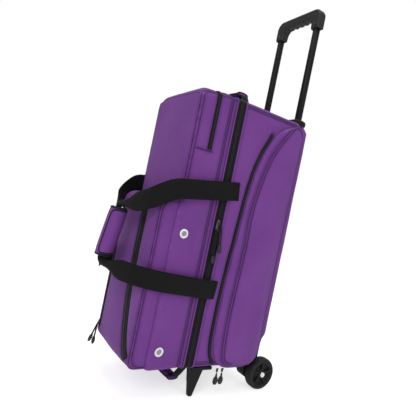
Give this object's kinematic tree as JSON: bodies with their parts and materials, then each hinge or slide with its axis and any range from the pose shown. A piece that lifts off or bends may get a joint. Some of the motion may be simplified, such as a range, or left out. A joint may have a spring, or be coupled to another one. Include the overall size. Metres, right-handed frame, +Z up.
{
  "type": "rolling bowling bag",
  "caption": "Upright rolling bag for bowling balls and shoes: hinged padded lid with pockets, telescoping handle, webbing carry loops, feet and wheels.",
  "frame": {"origin": "on the floor under the middle of the bag, with the telescoping handle pulled out", "axes": "+Z up, +Y towards the side with the telescoping handle and the wheels, +X towards the side with the large pocket"},
  "size_m": [0.292, 0.5842, 1.191],
  "materials": {
    "purple_fabric": "woven polyester",
    "black_lining": "quilted lining",
    "black_webbing": "woven webbing",
    "zipper_tape": "zipper tape with nylon coil",
    "black_plastic": "satin moulded",
    "soft_grip": "soft touch",
    "black_tube": "semi-gloss black",
    "bright_steel": "bright",
    "foam": "closed cell foam sheet",
    "tyre": "moulded rubber"
  },
  "bodies": {
    "tub": {"tub_shell": "purple_fabric", "zip_tape_tub": "zipper_tape", "hinge_strip_tub": "black_webbing", "ball_pad": "foam", "ball_divider_upper": "black_lining", "ball_divider_lower": "black_lining", "side_pocket": "purple_fabric", "side_pocket_zip": "zipper_tape", "side_slider_front": "black_plastic", "side_slider_rear": "black_plastic", "strap_anchor_upper": "black_webbing", "strap_anchor_lower": "black_webbing", "top_grab_webbing": "black_webbing", "top_grab_sleeve": "purple_fabric", "bottom_grab_webbing": "black_webbing", "bottom_grab_sleeve": "purple_fabric", "base_plate": "black_plastic", "foot_near": "black_plastic", "foot_far": "black_plastic", "wheel_housing_near": "black_plastic", "wheel_housing_far": "black_plastic", "axle_near": "bright_steel", "axle_far": "bright_steel", "back_cover": "purple_fabric", "outer_tube_near": "bright_steel", "outer_tube_far": "bright_steel", "tube_brace": "black_plastic", "handle_bezel": "black_plastic"},
    "lid": {"lid_shell": "purple_fabric", "zip_tape_lid": "zipper_tape", "hinge_strip_lid": "black_webbing", "lid_divider": "black_lining", "front_pocket": "purple_fabric", "pocket_zip_near": "zipper_tape", "pocket_zip_far": "zipper_tape", "shoe_zip": "zipper_tape", "vent_grommet_upper": "bright_steel", "vent_grommet_lower": "bright_steel", "far_strap": "black_webbing"},
    "near_loop": {"near_strap": "black_webbing", "handle_wrap": "purple_fabric"},
    "handle": {"rod_near": "black_tube", "rod_far": "black_tube", "grip": "soft_grip"},
    "button": {"grip_button": "black_plastic"},
    "wheel_near": {"wheel_hub_near": "black_plastic", "tyre_near": "tyre"},
    "wheel_far": {"wheel_hub_far": "black_plastic", "tyre_far": "tyre"},
    "slider_upper": {"main_slider_upper": "black_plastic"},
    "pull_upper": {"main_pull_upper": "black_plastic"},
    "slider_lower": {"main_slider_lower": "black_plastic"},
    "pull_lower": {"main_pull_lower": "black_plastic"},
    "side_pull_front": {"side_pull_front": "black_plastic"},
    "side_pull_rear": {"side_pull_rear": "black_plastic"},
    "pocket_slider": {"pocket_slider_far": "black_plastic"},
    "shoe_slider": {"shoe_slider": "black_plastic"}
  },
  "joints": [
    {"name": "lid_hinge", "type": "hinge", "parent": "tub", "child": "lid", "pos_m": [-0.1295, -0.0253, 0.444], "axis": [0, 0, -1], "range_deg": [0, 100]},
    {"name": "near_loop_swing", "type": "hinge", "parent": "tub", "child": "near_loop", "pos_m": [0.1315, -0.0053, 0.43], "axis": [0, 0, 1], "range_deg": [0, 110]},
    {"name": "handle_slide", "type": "slide", "parent": "tub", "child": "handle", "axis": [0, 0, 1], "range_m": [-0.29, 0]},
    {"name": "button_press", "type": "slide", "parent": "handle", "child": "button", "axis": [0, 0, -1], "range_m": [0, 0.004], "stiffness_N_per_m": 500},
    {"name": "wheel_near_spin", "type": "hinge", "parent": "tub", "child": "wheel_near", "pos_m": [0.119, 0.2447, 0.0474], "axis": [1, 0, 0], "continuous": true},
    {"name": "wheel_far_spin", "type": "hinge", "parent": "tub", "child": "wheel_far", "pos_m": [-0.119, 0.2447, 0.0474], "axis": [1, 0, 0], "continuous": true},
    {"name": "main_slider_upper_slide", "type": "slide", "parent": "tub", "child": "slider_upper", "axis": [0, 0, 1], "range_m": [0, 0.29]},
    {"name": "main_slider_lower_slide", "type": "slide", "parent": "tub", "child": "slider_lower", "axis": [0, 0, 1], "range_m": [-0.33, 0]},
    {"name": "main_pull_upper_swing", "type": "hinge", "parent": "slider_upper", "child": "pull_upper", "pos_m": [0.1339, -0.0203, 0.473], "axis": [0, -1, 0], "range_deg": [0, 90]},
    {"name": "main_pull_lower_swing", "type": "hinge", "parent": "slider_lower", "child": "pull_lower", "pos_m": [0.1339, -0.0303, 0.455], "axis": [0, -1, 0], "range_deg": [0, 90]},
    {"name": "side_pull_front_swing", "type": "hinge", "parent": "tub", "child": "side_pull_front", "pos_m": [0.1298, 0.0727, 0.0615], "axis": [0, -1, 0], "range_deg": [0, 90]},
    {"name": "side_pull_rear_swing", "type": "hinge", "parent": "tub", "child": "side_pull_rear", "pos_m": [0.1298, 0.0907, 0.0615], "axis": [0, -1, 0], "range_deg": [0, 90]},
    {"name": "pocket_slider_slide", "type": "slide", "parent": "lid", "child": "pocket_slider", "axis": [0, 0, 1], "range_m": [0, 0.34]},
    {"name": "shoe_slider_slide", "type": "slide", "parent": "lid", "child": "shoe_slider", "axis": [0, 0, 1], "range_m": [0, 0.09]}
  ],
  "couplings": [
    {"joint": "near_loop_swing", "follows": "lid_hinge", "ratio": 1.1}
  ]
}
